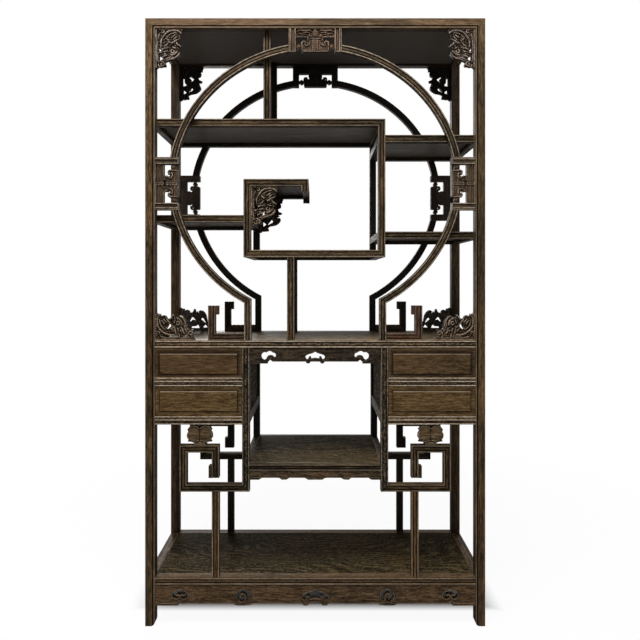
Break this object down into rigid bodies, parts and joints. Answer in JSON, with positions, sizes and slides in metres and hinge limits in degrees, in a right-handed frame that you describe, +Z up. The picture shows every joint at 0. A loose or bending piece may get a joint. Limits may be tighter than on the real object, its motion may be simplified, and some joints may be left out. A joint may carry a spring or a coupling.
{
  "type": "openwork display cabinet",
  "caption": "Tall dark hardwood display cabinet with a moon-gate arch, stepped open shelves, sliding drawers, a kneehole and carved frets, open at front, back and sides.",
  "frame": {"origin": "on the floor, under the middle of the cabinet", "axes": "+Z up, +X to the right seen from the front, +Y from the front to the rear"},
  "size_m": [1.06, 0.34, 1.895],
  "materials": {
    "frame_wood": "dark stained hardwood with streaky straight grain, satin wax polish",
    "panel_wood": "dark hardwood board with feathery figured grain, satin wax polish",
    "carving_wood": "carved dark hardwood, polished on the high points and darker in the cuts",
    "drawer_lining": "plain planed hardwood, unpolished"
  },
  "bodies": {
    "cabinet": {"arch_foot_frets": "frame_wood", "arch_lower_front": "frame_wood", "arch_lower_rear": "frame_wood", "arch_upper_front": "frame_wood", "arch_upper_rear": "frame_wood", "base_aprons": "carving_wood", "base_panel": "panel_wood", "base_rails_long": "frame_wood", "base_rails_side": "frame_wood", "box_bottom_shelf": "frame_wood", "box_left_posts": "frame_wood", "box_right_posts": "frame_wood", "centre_posts": "frame_wood", "corner_brackets": "carving_wood", "deck_aprons": "carving_wood", "deck_carvings": "carving_wood", "deck_panel": "panel_wood", "deck_rails_long": "frame_wood", "deck_rails_side": "frame_wood", "divider_posts": "frame_wood", "drawer_rails_long": "frame_wood", "drawer_rails_side": "frame_wood", "drawer_runners": "drawer_lining", "drawer_unit_back_panels": "panel_wood", "drawer_unit_dust_boards": "drawer_lining", "drawer_unit_side_panels": "panel_wood", "fret_legs": "frame_wood", "fret_medallions": "carving_wood", "kneehole_posts": "frame_wood", "kneehole_shelf_aprons": "carving_wood", "kneehole_shelf_panel": "panel_wood", "kneehole_shelf_rails_long": "frame_wood", "kneehole_shelf_rails_side": "frame_wood", "lower_frets": "frame_wood", "lower_left_shelf": "frame_wood", "lower_right_shelf": "frame_wood", "panel_battens": "drawer_lining", "post_front_left": "panel_wood", "post_front_right": "panel_wood", "post_rear_left": "frame_wood", "post_rear_right": "frame_wood", "shelf_brackets": "carving_wood", "shelf_side_rails": "frame_wood", "short_shelf": "frame_wood", "side_cartouches": "carving_wood", "top_cartouches": "carving_wood", "top_panel": "panel_wood", "top_rails_long": "frame_wood", "top_rails_side": "frame_wood", "upper_left_shelf": "frame_wood", "upper_right_shelf": "frame_wood"},
    "drawer_upper_left": {"drawer_upper_left_box": "drawer_lining", "drawer_upper_left_front": "panel_wood"},
    "drawer_upper_right": {"drawer_upper_right_box": "drawer_lining", "drawer_upper_right_front": "panel_wood"},
    "drawer_lower_left": {"drawer_lower_left_box": "drawer_lining", "drawer_lower_left_front": "panel_wood"},
    "drawer_lower_right": {"drawer_lower_right_box": "drawer_lining", "drawer_lower_right_front": "panel_wood"}
  },
  "joints": [
    {"name": "drawer_upper_left_slide", "type": "slide", "parent": "cabinet", "child": "drawer_upper_left", "axis": [0, -1, 0], "range_m": [0, 0.21]},
    {"name": "drawer_upper_right_slide", "type": "slide", "parent": "cabinet", "child": "drawer_upper_right", "axis": [0, -1, 0], "range_m": [0, 0.21]},
    {"name": "drawer_lower_left_slide", "type": "slide", "parent": "cabinet", "child": "drawer_lower_left", "axis": [0, -1, 0], "range_m": [0, 0.21]},
    {"name": "drawer_lower_right_slide", "type": "slide", "parent": "cabinet", "child": "drawer_lower_right", "axis": [0, -1, 0], "range_m": [0, 0.21]}
  ]
}
